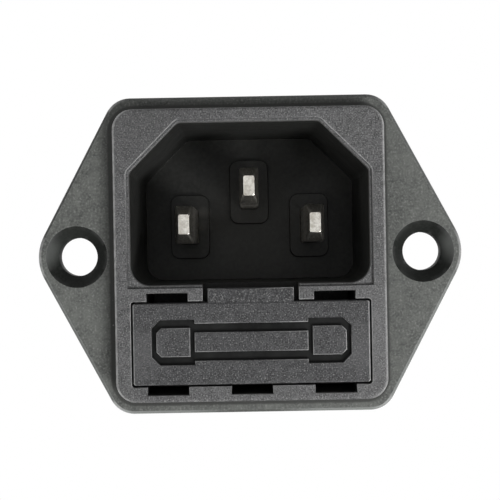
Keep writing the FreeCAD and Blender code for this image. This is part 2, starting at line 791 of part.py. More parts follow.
def all_pieces():
    """Every node's name and solid."""
    pieces = {"housing": housing(), "rear_cover": rear_cover()}
    for name, (x, z) in pin_places().items():
        lead = earth_pin_lead if name == "earth" else 0.0
        pieces[name + "_pin"] = contact_pin(x, z, lead)
    pieces["earth_terminal"] = earth_terminal()
    pieces["neutral_terminal"] = neutral_terminal()
    pieces["load_terminal"] = load_terminal()
    pieces["line_feed_strap"] = line_feed_strap()
    pieces["fuse_spring_right"] = fuse_spring()
    pieces["fuse_spring_left"] = mirrored(fuse_spring())
    pieces["spring_rivet_right"] = spring_rivet()
    pieces["spring_rivet_left"] = mirrored(spring_rivet())
    pieces["fuse_drawer"] = fuse_drawer()
    for name, y in (("fuse", fuse_y), ("spare_fuse", spare_y)):
        pieces[name + "_tube"] = fuse_tube(y)
        pieces[name + "_cap_left"] = fuse_cap(y, -1)
        pieces[name + "_cap_right"] = fuse_cap(y, 1)
        pieces[name + "_wire"] = fuse_wire(y)
    return pieces


os.makedirs("parts", exist_ok=True)
for node, shape in all_pieces().items():
    if len(shape.Solids) != 1 or not shape.isValid():
        print("check", node, len(shape.Solids), shape.isValid())
    shape.exportStep("parts/" + node + ".step")
    print(node, round(shape.Volume, 2), "mm3")
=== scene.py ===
import json
import math

import bmesh
import bpy
from mathutils import Matrix, Vector

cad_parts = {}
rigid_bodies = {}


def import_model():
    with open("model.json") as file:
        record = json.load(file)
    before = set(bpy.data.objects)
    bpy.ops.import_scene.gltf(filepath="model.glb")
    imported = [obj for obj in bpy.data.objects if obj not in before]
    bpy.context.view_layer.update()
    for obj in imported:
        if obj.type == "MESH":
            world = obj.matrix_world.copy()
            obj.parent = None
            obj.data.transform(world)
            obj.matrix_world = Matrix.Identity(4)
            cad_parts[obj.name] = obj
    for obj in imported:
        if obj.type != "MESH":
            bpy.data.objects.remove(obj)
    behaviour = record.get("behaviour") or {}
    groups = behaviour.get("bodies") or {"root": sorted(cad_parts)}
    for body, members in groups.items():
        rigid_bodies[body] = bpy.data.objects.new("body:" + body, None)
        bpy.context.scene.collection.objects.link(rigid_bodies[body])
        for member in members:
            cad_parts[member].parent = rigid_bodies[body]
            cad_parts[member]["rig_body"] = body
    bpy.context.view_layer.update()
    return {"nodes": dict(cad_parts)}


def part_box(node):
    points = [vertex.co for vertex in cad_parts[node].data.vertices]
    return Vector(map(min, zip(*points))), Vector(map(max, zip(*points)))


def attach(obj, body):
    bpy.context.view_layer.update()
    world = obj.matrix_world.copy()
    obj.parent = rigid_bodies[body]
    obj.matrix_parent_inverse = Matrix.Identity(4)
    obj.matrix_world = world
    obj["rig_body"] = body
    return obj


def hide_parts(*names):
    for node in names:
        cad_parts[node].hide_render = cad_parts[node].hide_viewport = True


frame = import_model()
mm = 0.001
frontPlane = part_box("housing")[0].y
drawerLow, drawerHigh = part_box("fuse_drawer")
print("frame loaded:", len(frame["nodes"]), "nodes")


# Small helpers for building node trees

def addNode(tree, kind, inputs=None, **settings):
    node = tree.nodes.new(kind)
    for key, value in settings.items():
        setattr(node, key, value)
    for key, value in (inputs or {}).items():
        node.inputs[key].default_value = value
    return node


def feed(tree, socket, value):
    # A socket is linked, a plain value is set
    if hasattr(value, "links"):
        tree.links.new(value, socket)
    elif isinstance(value, tuple) and len(socket.default_value) == 4:
        socket.default_value = (*value, 1.0)
    else:
        socket.default_value = value


def mathNode(tree, operation, first, second=None, clamp=False):
    node = addNode(tree, "ShaderNodeMath", operation=operation, use_clamp=clamp)
    feed(tree, node.inputs[0], first)
    if second is not None:
        feed(tree, node.inputs[1], second)
    return node.outputs[0]


def vectorNode(tree, operation, first, second):
    node = addNode(tree, "ShaderNodeVectorMath", operation=operation)
    feed(tree, node.inputs[0], first)
    feed(tree, node.inputs[1], second)
    return node.outputs["Value" if operation == "DISTANCE" else "Vector"]


def axesNode(tree, place):
    node = addNode(tree, "ShaderNodeSeparateXYZ")
    feed(tree, node.inputs[0], place)
    return node.outputs


def rangeNode(tree, value, fromLow, fromHigh, toLow=0.0, toHigh=1.0, smooth=False):
    kind = "SMOOTHSTEP" if smooth else "LINEAR"
    node = addNode(tree, "ShaderNodeMapRange", interpolation_type=kind)
    limits = {"Value": value, "From Min": fromLow, "From Max": fromHigh,
              "To Min": toLow, "To Max": toHigh}
    for label, limit in limits.items():
        feed(tree, node.inputs[label], limit)
    return node.outputs["Result"]


def noiseNode(tree, where, scale, detail=2.0, roughness=0.5):
    node = addNode(tree, "ShaderNodeTexNoise", {"Detail": detail, "Roughness": roughness})
    feed(tree, node.inputs["Vector"], where)
    feed(tree, node.inputs["Scale"], scale)
    return node.outputs["Fac"]


def colourMix(tree, amount, first, second):
    node = addNode(tree, "ShaderNodeMix", data_type="RGBA")
    for index, value in ((0, amount), (6, first), (7, second)):
        feed(tree, node.inputs[index], value)
    return node.outputs[2]


def valueMix(tree, amount, first, second):
    node = addNode(tree, "ShaderNodeMix", data_type="FLOAT")
    for index, value in ((0, amount), (2, first), (3, second)):
        feed(tree, node.inputs[index], value)
    return node.outputs[0]


def layOver(tree, colour, mask, amount, tone):
    # A tone over a colour, where the mask says and as strongly as the amount says
    return colourMix(tree, mathNode(tree, "MULTIPLY", mask, amount), colour, tone)


def newGroup(name, inputs, outputs):
    group = bpy.data.node_groups.new(name, "ShaderNodeTree")
    for label, value in inputs.items():
        kind = "NodeSocketVector" if isinstance(value, tuple) else "NodeSocketFloat"
        socket = group.interface.new_socket(name=label, in_out="INPUT", socket_type=kind)
        socket.default_value = value
    for label in outputs:
        group.interface.new_socket(name=label, in_out="OUTPUT", socket_type="NodeSocketFloat")
    return group, group.nodes.new("NodeGroupInput").outputs, group.nodes.new("NodeGroupOutput").inputs


# Effects that several finishes share, each built once as a node group

def sparkGrainGroup():
    # Spark-eroded mould grain: a fine speckle over two slower ones, its brightest points, and its height
    group, given, result = newGroup("sparkGrain", {"Place": (0.0, 0.0, 0.0), "Grain per metre": 7000.0},
                                    ["Speckle", "Glint", "Height"])
    finest = 0.6  # share of the height that the finest layer has
    slower = ((0.22, 0.4), (0.18, 0.15))  # share and scale of each slower layer
    fine = noiseNode(group, given["Place"], given["Grain per metre"], 1.0, 0.5)
    total = mathNode(group, "MULTIPLY", fine, finest)
    for share, ratio in slower:
        scale = mathNode(group, "MULTIPLY", given["Grain per metre"], ratio)
        layer = noiseNode(group, given["Place"], scale, 2.0, 0.6)
        total = mathNode(group, "ADD", total, mathNode(group, "MULTIPLY", layer, share))
    group.links.new(rangeNode(group, total, 0.37, 0.64), result["Speckle"])
    group.links.new(rangeNode(group, fine, 0.62, 0.72), result["Glint"])
    group.links.new(total, result["Height"])
    return group


def mottleGroup():
    # Cloudy patches of handling and dust, a few millimetres across
    group, given, result = newGroup("mottle", {"Place": (0.0, 0.0, 0.0), "Patches per metre": 320.0},
                                    ["Cloud"])
    cloud = noiseNode(group, given["Place"], given["Patches per metre"], 5.0, 0.66)
    group.links.new(rangeNode(group, cloud, 0.36, 0.66), result["Cloud"])
    return group


def dustGroup():
    # Tiny pale specks, one in about seven cells of a scattered pattern
    group, given, result = newGroup("dustSpecks", {"Place": (0.0, 0.0, 0.0), "Specks per metre": 900.0,
                                                   "Speck size": 0.1}, ["Mask"])
    emptyShare = 0.86
    cells = addNode(group, "ShaderNodeTexVoronoi", feature="F1")
    feed(group, cells.inputs["Vector"], given["Place"])
    feed(group, cells.inputs["Scale"], given["Specks per metre"])
    near = mathNode(group, "LESS_THAN", cells.outputs["Distance"], given["Speck size"])
    shade = addNode(group, "ShaderNodeSeparateColor")
    feed(group, shade.inputs["Color"], cells.outputs["Color"])
    chosen = mathNode(group, "GREATER_THAN", shade.outputs[0], emptyShare)
    group.links.new(mathNode(group, "MULTIPLY", near, chosen), result["Mask"])
    return group


def wearAndHighlightGroup():
    # Broken line along rounded edges, partly wear and partly painted highlight, from the edge value that
    # each piece carries
    group, given, result = newGroup("edgeWearAndHighlight", {"Place": (0.0, 0.0, 0.0), "Edge": 0.0}, ["Mask"])
    breaksPerMetre = 1800.0
    weakest = 0.45  # how much of the line is left where it is broken
    broken = noiseNode(group, given["Place"], breaksPerMetre, 3.0, 0.6)
    kept = rangeNode(group, broken, 0.3, 0.6, weakest, 1.0)
    group.links.new(mathNode(group, "MULTIPLY", given["Edge"], kept, clamp=True), result["Mask"])
    return group


def drawnLinesGroup():
    # Fine lines along one axis, as drawing and stamping leave on metal
    group, given, result = newGroup("drawnLines", {"Place": (0.0, 0.0, 0.0), "Stretch": (1.0, 0.05, 1.0),
                                                   "Lines per metre": 5000.0}, ["Lines"])
    stretched = vectorNode(group, "MULTIPLY", given["Place"], given["Stretch"])
    lines = noiseNode(group, stretched, given["Lines per metre"], 3.0, 0.7)
    group.links.new(rangeNode(group, lines, 0.3, 0.7), result["Lines"])
    return group


def footLineGroup():
    # Painted shade, with some dirt, in the corner round a raised rounded rectangle, by the distance from
    # its outline
    group, given, result = newGroup("footLine", {"Place": (0.0, 0.0, 0.0), "Centre": (0.0, 0.0, 0.0),
                                                 "Half width": 0.01, "Half height": 0.01,
                                                 "Corner radius": 0.001, "Inner reach": 0.0003,
                                                 "Outer reach": 0.0005}, ["Mask"])
    wavesPerMetre = 900.0
    waveHeight = 0.12 * mm
    axes = axesNode(group, vectorNode(group, "SUBTRACT", given["Place"], given["Centre"]))
    past = []
    for axis, half in (("X", "Half width"), ("Z", "Half height")):
        side = mathNode(group, "ABSOLUTE", axes[axis])
        straight = mathNode(group, "SUBTRACT", given[half], given["Corner radius"])
        past.append(mathNode(group, "MAXIMUM", mathNode(group, "SUBTRACT", side, straight), 0.0))
    square = mathNode(group, "ADD", mathNode(group, "MULTIPLY", past[0], past[0]),
                      mathNode(group, "MULTIPLY", past[1], past[1]))
    away = mathNode(group, "SUBTRACT", mathNode(group, "SQRT", square), given["Corner radius"])
    uneven = mathNode(group, "SUBTRACT", noiseNode(group, given["Place"], wavesPerMetre), 0.5)
    away = mathNode(group, "ADD", away, mathNode(group, "MULTIPLY", uneven, waveHeight))
    mask = rangeNode(group, away, given["Inner reach"], given["Outer reach"], 1.0, 0.0, smooth=True)
    group.links.new(mask, result["Mask"])
    return group


def depthFadeGroup():
    # From 0 at one depth along Y to 1 at another
    group, given, result = newGroup("depthFade", {"Place": (0.0, 0.0, 0.0), "Start": 0.0, "End": 0.001},
                                    ["Mask"])
    depth = axesNode(group, given["Place"])["Y"]
    group.links.new(rangeNode(group, depth, given["Start"], given["End"], smooth=True), result["Mask"])
    return group


def roundSpotGroup():
    # Soft round spot, which tints a patch of a surface
    group, given, result = newGroup("roundSpot", {"Place": (0.0, 0.0, 0.0), "Centre": (0.0, 0.0, 0.0),
                                                  "Radius": 0.001, "Softness": 0.0002}, ["Spot"])
    distance = vectorNode(group, "DISTANCE", given["Place"], given["Centre"])
    away = mathNode(group, "SUBTRACT", distance, given["Radius"])
    inside = mathNode(group, "MULTIPLY", given["Softness"], -1.0)
    spot = rangeNode(group, away, inside, given["Softness"], 1.0, 0.0, smooth=True)
    group.links.new(spot, result["Spot"])
    return group


groups = {"grain": sparkGrainGroup(), "mottle": mottleGroup(), "dust": dustGroup(),
          "edge": wearAndHighlightGroup(), "lines": drawnLinesGroup(), "foot": footLineGroup(),
          "depth": depthFadeGroup(), "spot": roundSpotGroup()}
print("node groups:", ", ".join(sorted(groups)))


# Finishes

def newMaterial(name):
    material = bpy.data.materials.new(name)
    material.use_nodes = True
    tree = material.node_tree
    return material, tree, tree.nodes["Principled BSDF"]


def objectPlace(tree):
    return addNode(tree, "ShaderNodeTexCoord").outputs["Object"]


def placeGroup(tree, key, place, values):
    node = addNode(tree, "ShaderNodeGroup", node_tree=groups[key])
    feed(tree, node.inputs["Place"], place)
    for label, value in values.items():
        feed(tree, node.inputs[label], value)
    return node.outputs


def attributeValue(tree, name):
    return addNode(tree, "ShaderNodeAttribute", attribute_name=name).outputs["Fac"]


def addBump(tree, shader, height, strength, distance):
    bump = addNode(tree, "ShaderNodeBump", {"Strength": strength, "Distance": distance})
    feed(tree, bump.inputs["Height"], height)
    feed(tree, shader.inputs["Normal"], bump.outputs["Normal"])


# Moulded black nylon. The look's numbers give its tone, grain, clouding, painted glints, edge lines of
# wear and painted highlight, a crease tone of dirt and painted shading, and patches, some of them painted
# light and shade.
def nylon(name, look):
    material, tree, shader = newMaterial(name)
    place = objectPlace(tree)
    grain = placeGroup(tree, "grain", place, {"Grain per metre": look["grainPerMetre"]})
    cloud = placeGroup(tree, "mottle", place, {"Patches per metre": look["patchesPerMetre"]})["Cloud"]
    wearAndHighlight = placeGroup(tree, "edge", place, {"Edge": attributeValue(tree, "edge")})["Mask"]
    dust = placeGroup(tree, "dust", place, {"Specks per metre": look["specksPerMetre"],
                                            "Speck size": look["speckSize"]})["Mask"]
    colour = colourMix(tree, grain["Speckle"], look["dark"], look["light"])
    colour = layOver(tree, colour, cloud, look["clouding"], look["film"])
    # Painted glints on the grain's brightest points
    colour = layOver(tree, colour, grain["Glint"], look["glints"], look["dustAndGlint"])
    if "streaks" in look:
        lines = placeGroup(tree, "lines", place, {"Stretch": look["streakStretch"],
                                                  "Lines per metre": look["streaks"]})["Lines"]
        colour = layOver(tree, colour, lines, look["streaking"], look["streak"])
    for centre, radius, softness, amount, tone in look["patches"]:
        spot = placeGroup(tree, "spot", place, {"Centre": centre, "Radius": radius,
                                                "Softness": softness})["Spot"]
        colour = layOver(tree, colour, spot, amount, tone)
    if "mouth" in look:
        start, end, tone = look["mouth"]
        fade = placeGroup(tree, "depth", place, {"Start": start, "End": end})["Mask"]
        colour = colourMix(tree, fade, tone, colour)
    if "foot" in look:
        foot = placeGroup(tree, "foot", place, look["foot"])["Mask"]
        colour = layOver(tree, colour, foot, look["footAmount"], look["creaseDirtAndShading"])
    # Crease tone in the rounded inner corners: painted shade with some dirt, and on the socket floor a
    # lighter tone, painted light
    colour = layOver(tree, colour, attributeValue(tree, "crease"), look["creaseAmount"], look["creaseDirtAndShading"])
    # Painted highlight, partly wear, along the rounded edges
    colour = layOver(tree, colour, wearAndHighlight, look["wearAndHighlight"], look["wearAndHighlightTone"])
    colour = layOver(tree, colour, dust, look["dustAmount"], look["dustAndGlint"])
    feed(tree, shader.inputs["Base Color"], colour)
    rough = valueMix(tree, cloud, *look["roughness"])
    feed(tree, shader.inputs["Roughness"], valueMix(tree, wearAndHighlight, rough, look["edgeRoughness"]))
    addBump(tree, shader, grain["Height"], look["bump"], look["pitDepth"])
    shader.inputs["Specular IOR Level"].default_value = look["specular"]
    return material


# Plated or bare metal with drawing lines, a tarnish cloud and edges brightened by wear and painted
# highlight
def metal(name, look):
    material, tree, shader = newMaterial(name)
    place = objectPlace(tree)
    lines = placeGroup(tree, "lines", place, {"Stretch": look["stretch"],
                                              "Lines per metre": look["linesPerMetre"]})["Lines"]
    cloud = placeGroup(tree, "mottle", place, {"Patches per metre": look["patchesPerMetre"]})["Cloud"]
    wearAndHighlight = placeGroup(tree, "edge", place, {"Edge": attributeValue(tree, "edge")})["Mask"]
    colour = colourMix(tree, lines, look["shade"], look["bright"])
    colour = layOver(tree, colour, cloud, look["tarnishAmount"], look["tarnish"])
    # Brighter edges: wear and painted highlight
    colour = layOver(tree, colour, wearAndHighlight, look["wearAndHighlight"], look["bright"])
    feed(tree, shader.inputs["Base Color"], colour)
    smoothest, roughest = look["roughness"]
    rough = valueMix(tree, lines, roughest, smoothest)
    dull = mathNode(tree, "MULTIPLY", cloud, look["dulling"])
    feed(tree, shader.inputs["Roughness"], valueMix(tree, dull, rough, roughest))
    addBump(tree, shader, lines, look["bump"], look["lineDepth"])
    shader.inputs["Metallic"].default_value = 1.0
    return material


# Clear fuse glass with faint drawing lines along the tube
def clearGlass(name, look):
    material, tree, shader = newMaterial(name)
    place = objectPlace(tree)
    lines = placeGroup(tree, "lines", place, {"Stretch": look["stretch"],
                                              "Lines per metre": look["linesPerMetre"]})["Lines"]
    feed(tree, shader.inputs["Base Color"], colourMix(tree, lines, look["clear"], look["tint"]))
    feed(tree, shader.inputs["Roughness"], valueMix(tree, lines, *look["roughness"]))
    shader.inputs["Transmission Weight"].default_value = 1.0
    shader.inputs["IOR"].default_value = look["bending"]
    return material


# The housing's own sizes in millimetres, which its regions and finishes share
housingSizes = {"flangeThickness": 2.8, "bezelCornerRadius": 2.1, "rebateDepth": 0.3, "socketDepth": 18.4,
                "holePitch": 36.0, "countersinkRadius": 3.25, "rimChamfer": 0.3, "tallestBoss": 2.0,
                "clearOfFlange": 0.5, "frontRounding": 0.12, "bayRounding": 0.1, "edgeRounding": 0.05,
                "bossRounding": 0.12, "lipRounding": 0.2}
flangeFront = -housingSizes["flangeThickness"] * mm
rebateFloor = frontPlane + housingSizes["rebateDepth"] * mm
socketFloor = frontPlane + housingSizes["socketDepth"] * mm
holeX = housingSizes["holePitch"] / 2 * mm
bezelCorners = [vert.co for vert in frame["nodes"]["housing"].data.vertices
                if vert.co.y < flangeFront - housingSizes["clearOfFlange"] * mm]
bezelHalfWidth = max(abs(corner.x) for corner in bezelCorners)
bezelHalfHeight = max(abs(corner.z) for corner in bezelCorners)


def onBothSides(x, y, z, radius, softness, amount, leftTone, rightTone=None):
    # One patch on the left and one on the right, in one tone or in two
    return (((-x, y, z), radius, softness, amount, leftTone),
            ((x, y, z), radius, softness, amount, rightTone or leftTone))


# A patch is its centre, radius, softness, amount and tone
bezelLook = {
    "dark": (0.016, 0.016, 0.017), "light": (0.150, 0.149, 0.152), "grainPerMetre": 6800.0,
    "film": (0.095, 0.098, 0.094), "clouding": 0.22, "patchesPerMetre": 300.0, "glints": 0.5,
    "wearAndHighlight": 0.95, "wearAndHighlightTone": (0.52, 0.523, 0.52), "creaseDirtAndShading": (0.028, 0.028, 0.027), "creaseAmount": 0.7,
    "dustAndGlint": (0.30, 0.30, 0.29), "dustAmount": 0.4, "specksPerMetre": 700.0, "speckSize": 0.06,
    "roughness": (0.55, 0.66), "edgeRoughness": 0.42, "bump": 0.8, "pitDepth": 0.03 * mm,
    "specular": 0.42,
    # Painted shade at the bezel's upper left and painted light at its lower right
    "patches": (((-10.0 * mm, frontPlane, 14.0 * mm), 5.0 * mm, 5.0 * mm, 0.3, (0.035, 0.035, 0.036)),
                ((13.0 * mm, frontPlane, -9.0 * mm), 5.0 * mm, 4.5 * mm, 0.16, (0.220, 0.220, 0.222))),
}
drawerLook = dict(
    bezelLook, dark=(0.004, 0.004, 0.005), light=(0.082, 0.082, 0.085), clouding=0.10, specular=0.36,
    patches=onBothSides(11.3 * mm, frontPlane, drawerLow.z + 4.2 * mm, 2.2 * mm, 1.6 * mm, 0.3,
                        (0.120, 0.120, 0.122)))
flangeLook = dict(
    bezelLook, dark=(0.030, 0.032, 0.030), light=(0.122, 0.127, 0.119), grainPerMetre=4600.0,
    film=(0.150, 0.157, 0.146), clouding=0.6, patchesPerMetre=520.0, glints=0.25, bump=0.4, patches=(),
    streak=(0.055, 0.057, 0.054), streaking=0.3, streaks=1500.0, streakStretch=(1.0, 1.0, 0.12),
    creaseDirtAndShading=(0.022, 0.023, 0.021), footAmount=0.95,
    # The foot line is painted shade, with some dirt, round the bezel's foot
    foot={"Centre": (-0.14 * mm, 0.0, 0.0), "Half width": bezelHalfWidth, "Half height": bezelHalfHeight,
          "Corner radius": housingSizes["bezelCornerRadius"] * mm,
          "Inner reach": 0.46 * mm, "Outer reach": 0.72 * mm})
rimLook = dict(
    # The flange's rim chamfer in a darker tone, painted shade, with painted highlights on its lower sides
    flangeLook, dark=(0.022, 0.023, 0.022), light=(0.085, 0.089, 0.083), film=(0.085, 0.089, 0.082),
    patches=onBothSides(13.0 * mm, flangeFront, -9.0 * mm, 11.0 * mm, 2.5 * mm, 0.85,
                        (0.190, 0.200, 0.192)))
smoothLook = dict(
    bezelLook, dark=(0.018, 0.0185, 0.018), light=(0.028, 0.0285, 0.0275), grainPerMetre=2500.0,
    film=(0.034, 0.0345, 0.034), clouding=0.35, glints=0.0, wearAndHighlight=0.6, wearAndHighlightTone=(0.12, 0.12, 0.12),
    creaseDirtAndShading=(0.004, 0.004, 0.004), dustAndGlint=(0.2, 0.2, 0.2), dustAmount=0.25, specksPerMetre=420.0,
    roughness=(0.32, 0.44), edgeRoughness=0.3, bump=0.08, specular=0.14, patches=())
wallLook = dict(
    smoothLook, dark=(0.017, 0.0174, 0.0165), light=(0.026, 0.0264, 0.025), film=(0.031, 0.0315, 0.030),
    wearAndHighlight=0.9, wearAndHighlightTone=(0.30, 0.30, 0.295), specular=0.18,
    # Painted light near the socket's mouth, fading to the wall's tone deeper in
    mouth=(rebateFloor - 0.05 * mm, rebateFloor + 0.32 * mm, (0.075, 0.075, 0.074)))
floorLook = dict(
    smoothLook, dark=(0.020, 0.0205, 0.019), light=(0.034, 0.0342, 0.032), film=(0.045, 0.0455, 0.042),
    # Its crease tone is lighter than the floor: painted light at the feet of the bosses and walls
    patchesPerMetre=170.0, wearAndHighlight=0.8, wearAndHighlightTone=(0.20, 0.195, 0.175), creaseDirtAndShading=(0.060, 0.059, 0.056),
    creaseAmount=0.5, specular=0.2,
    # Painted light on the middle of the floor, and a painted highlight beside the left pin's boss
    patches=(((0.0, socketFloor, 3.5 * mm), 4.5 * mm, 4.0 * mm, 0.45, (0.070, 0.068, 0.062)),
             ((-5.5 * mm, socketFloor, 4.9 * mm), 0.4 * mm, 0.9 * mm, 0.9, (0.34, 0.33, 0.30)),
             ((-5.5 * mm, socketFloor, 3.3 * mm), 0.4 * mm, 0.9 * mm, 0.9, (0.34, 0.33, 0.30))))
countersinkLook = dict(
    smoothLook, dark=(0.008, 0.009, 0.008), light=(0.017, 0.0185, 0.017), grainPerMetre=4200.0,
    film=(0.022, 0.024, 0.022), clouding=0.5, roughness=(0.45, 0.55), bump=0.2, specular=0.12,
    # Painted light on the outer side of each countersink
    patches=onBothSides(holeX + 2.9 * mm, flangeFront, 0.4 * mm, 1.3 * mm, 0.9 * mm, 0.8,
                        (0.084, 0.0882, 0.084), (0.122, 0.1281, 0.122)))
grooveLook = dict(
    # The symbol's groove is toned much darker than the other smooth nylon: painted shade in the recess
    smoothLook, dark=(0.0035, 0.0038, 0.0037), light=(0.0064, 0.0068, 0.0067), dustAmount=0.4,
    roughness=(0.4, 0.5), specular=0.12)
bodyLook = dict(
    bezelLook, dark=(0.022, 0.0225, 0.022), light=(0.052, 0.053, 0.052), grainPerMetre=3600.0,
    film=(0.060, 0.062, 0.059), clouding=0.35, glints=0.08, wearAndHighlight=0.5, wearAndHighlightTone=(0.13, 0.13, 0.13),
    creaseDirtAndShading=(0.010, 0.010, 0.010), creaseAmount=0.6, dustAmount=0.2, roughness=(0.46, 0.58),
    edgeRoughness=0.36, bump=0.3, specular=0.3, patches=())
coverLook = dict(
    bodyLook, dark=(0.016, 0.0165, 0.016), light=(0.034, 0.035, 0.034), film=(0.042, 0.044, 0.042),
    roughness=(0.36, 0.48))

nickelLook = {
    "shade": (0.46, 0.44, 0.40), "bright": (0.86, 0.84, 0.78), "tarnish": (0.26, 0.235, 0.19),
    "tarnishAmount": 0.55, "patchesPerMetre": 1500.0, "wearAndHighlight": 0.5, "roughness": (0.24, 0.40),
    "dulling": 0.6, "stretch": (1.0, 0.10, 1.0), "linesPerMetre": 2600.0, "bump": 0.15,
    "lineDepth": 0.008 * mm,
}
tinLook = dict(
    nickelLook, shade=(0.50, 0.50, 0.47), bright=(0.78, 0.78, 0.74), tarnish=(0.40, 0.39, 0.35),
    tarnishAmount=0.35, patchesPerMetre=400.0, roughness=(0.28, 0.44), linesPerMetre=3600.0, bump=0.4,
    lineDepth=0.012 * mm)
bronzeLook = dict(
    tinLook, shade=(0.52, 0.36, 0.22), bright=(0.80, 0.62, 0.42), tarnish=(0.34, 0.20, 0.12))
brassLook = dict(
    tinLook, shade=(0.55, 0.43, 0.18), bright=(0.86, 0.72, 0.38), tarnish=(0.38, 0.27, 0.12))
capLook = dict(
    tinLook, shade=(0.52, 0.51, 0.48), bright=(0.84, 0.83, 0.79), tarnishAmount=0.22,
    roughness=(0.16, 0.3), stretch=(0.06, 1.0, 1.0))
wireLook = dict(tinLook, stretch=(0.05, 1.0, 1.0), linesPerMetre=9000.0)
glassLook = {
    "clear": (0.97, 0.985, 0.98), "tint": (0.90, 0.94, 0.93), "stretch": (0.04, 1.0, 1.0),
    "linesPerMetre": 1500.0, "roughness": (0.0, 0.03), "bending": 1.5,
}

finishes = {
    "bezel": nylon("bezelGrain", bezelLook), "drawerFace": nylon("drawerGrain", drawerLook),
    "flange": nylon("flangeMatt", flangeLook), "rim": nylon("flangeRim", rimLook),
    "smooth": nylon("smoothBore", smoothLook), "wall": nylon("socketWall", wallLook),
    "floor": nylon("socketFloor", floorLook), "countersink": nylon("countersinkMatt", countersinkLook),
    "groove": nylon("smoothGroove", grooveLook), "body": nylon("bodyMatt", bodyLook),
    "cover": nylon("coverMatt", coverLook), "nickel": metal("pinNickel", nickelLook),
    "tin": metal("tabTin", tinLook), "bronze": metal("springBronze", bronzeLook),
    "brass": metal("rivetBrass", brassLook), "cap": metal("capNickel", capLook),
    "wire": metal("fuseWire", wireLook), "glass": clearGlass("fuseGlass", glassLook),
}
print("finishes:", len(finishes))


# Pieces: each CAD node copied, cleaned, given finished edges and its finishes

# How a copy is cleaned and shaded, in millimetres and degrees
meshRules = {"merge": 0.0005, "cutSnap": 0.001, "seam": 0.0015, "sameDepth": 0.004, "flatAngle": 0.6,
             "sharpAngle": 30.0, "shadingAngle": 50.0, "flatWeight": 90}

# Where the rounded edges carry wear and painted highlight, and how much
wearAndHighlightRules = {
    "slimFace": 0.1,  # millimetres of area over perimeter, below which a face belongs to a rounded edge
    "leastTurn": 0.02,  # radians round a point, below which it counts as flat
    "squareOn": 0.985, "squareFade": 0.1,  # a point that faces the front squarely gets neither
    "levelShare": 0.02, "uprightGain": 1.25,  # upright edges get the most painted highlight, as side light falls on them
    "rightShare": 0.55,  # edges that face right get less painted highlight, as the key lamp already lights them
}


def mergedCopy(nodeName, halved=False):
    bm = bmesh.new()
    bm.from_mesh(frame["nodes"][nodeName].data)
    bmesh.ops.remove_doubles(bm, verts=bm.verts, dist=meshRules["merge"] * mm)
    joined = bm.edges[:]
    if halved:
        # Cut down the middle, so that no flat face has to run round an opening
        bmesh.ops.bisect_plane(bm, geom=bm.verts[:] + bm.edges[:] + bm.faces[:],
                               dist=meshRules["cutSnap"] * mm, plane_co=(0.0, 0.0, 0.0),
                               plane_no=(1.0, 0.0, 0.0))
        seam = meshRules["seam"] * mm
        joined = [edge for edge in bm.edges if any(abs(vert.co.x) > seam for vert in edge.verts)]
    bmesh.ops.dissolve_limit(bm, angle_limit=math.radians(meshRules["flatAngle"]), verts=bm.verts,
                             edges=joined)
    return bm


def bevelEdges(bm, edges, width, segments, clamped=True):
    bmesh.ops.bevel(bm, geom=edges, offset=width * mm, offset_type="OFFSET", segments=segments,
                    profile=0.5, affect="EDGES", clamp_overlap=clamped, material=-1, loop_slide=True)


def sharpEdges(bm, smallest=meshRules["sharpAngle"], keep=None):
    return [edge for edge in bm.edges
            if len(edge.link_faces) == 2 and edge.calc_face_angle(0.0) > math.radians(smallest)
            and (keep is None or keep((edge.verts[0].co + edge.verts[1].co) / 2))]


def levelEdges(bm, depth, keep=None):
    # Sharp outer edges that lie at one depth along Y
    return [edge for edge in sharpEdges(bm, keep=keep)
            if edge.is_convex and all(abs(vert.co.y - depth) < meshRules["sameDepth"] * mm
                                      for vert in edge.verts)]


def wearAndHighlightAt(normal, rightShare):
    turned = (wearAndHighlightRules["squareOn"] - abs(normal.y)) / wearAndHighlightRules["squareFade"]
    upright = min(1.0, wearAndHighlightRules["levelShare"] + wearAndHighlightRules["uprightGain"] * abs(normal.x))
    if normal.x > 0.0:
        upright *= rightShare
    return min(1.0, max(0.0, turned)) * upright


def markEdges(bm, plain=None, rightShare=wearAndHighlightRules["rightShare"]):
    # Rounded outer edges carry their wear and painted highlight as edge, and rounded inner corners carry
    # crease = 1 for the painted crease shading
    bm.normal_update()
    slimmest = wearAndHighlightRules["slimFace"] * mm
    slim = {face for face in bm.faces if face.calc_area() < slimmest * face.calc_perimeter()}
    edgeLayer = bm.verts.layers.float.new("edge")
    creaseLayer = bm.verts.layers.float.new("crease")
    for vert in bm.verts:
        if not vert.link_faces or any(face not in slim for face in vert.link_faces):
            continue
        if plain and plain(vert.co):
            continue
        turn = sum(edge.calc_face_angle_signed(0.0) for edge in vert.link_edges)
        if turn > wearAndHighlightRules["leastTurn"]:
            vert[edgeLayer] = wearAndHighlightAt(vert.normal, rightShare)
        elif turn < -wearAndHighlightRules["leastTurn"]:
            vert[creaseLayer] = 1.0


def linkToScene(name, data):
    thing = bpy.data.objects.new(name, data)
    bpy.context.scene.collection.objects.link(thing)
    return thing


def finishPiece(bm, name, nodeName, materials, pick=None):
    mesh = bpy.data.meshes.new(name)
    for edge in sharpEdges(bm, meshRules["shadingAngle"]):
        edge.smooth = False
    for face in bm.faces:
        face.smooth = True
        if pick:
            face.material_index = pick(face)
    bm.to_mesh(mesh)
    bm.free()
    for material in materials:
        mesh.materials.append(material)
    piece = linkToScene(name, mesh)
    weighted = piece.modifiers.new("flatFaceNormals", "WEIGHTED_NORMAL")
    weighted.weight = meshRules["flatWeight"]
    weighted.keep_sharp = True
    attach(piece, frame["nodes"][nodeName]["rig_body"])
    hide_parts(nodeName)


housingFinishes = ["bezel", "flange", "rim", "smooth", "wall", "floor", "countersink", "body"]

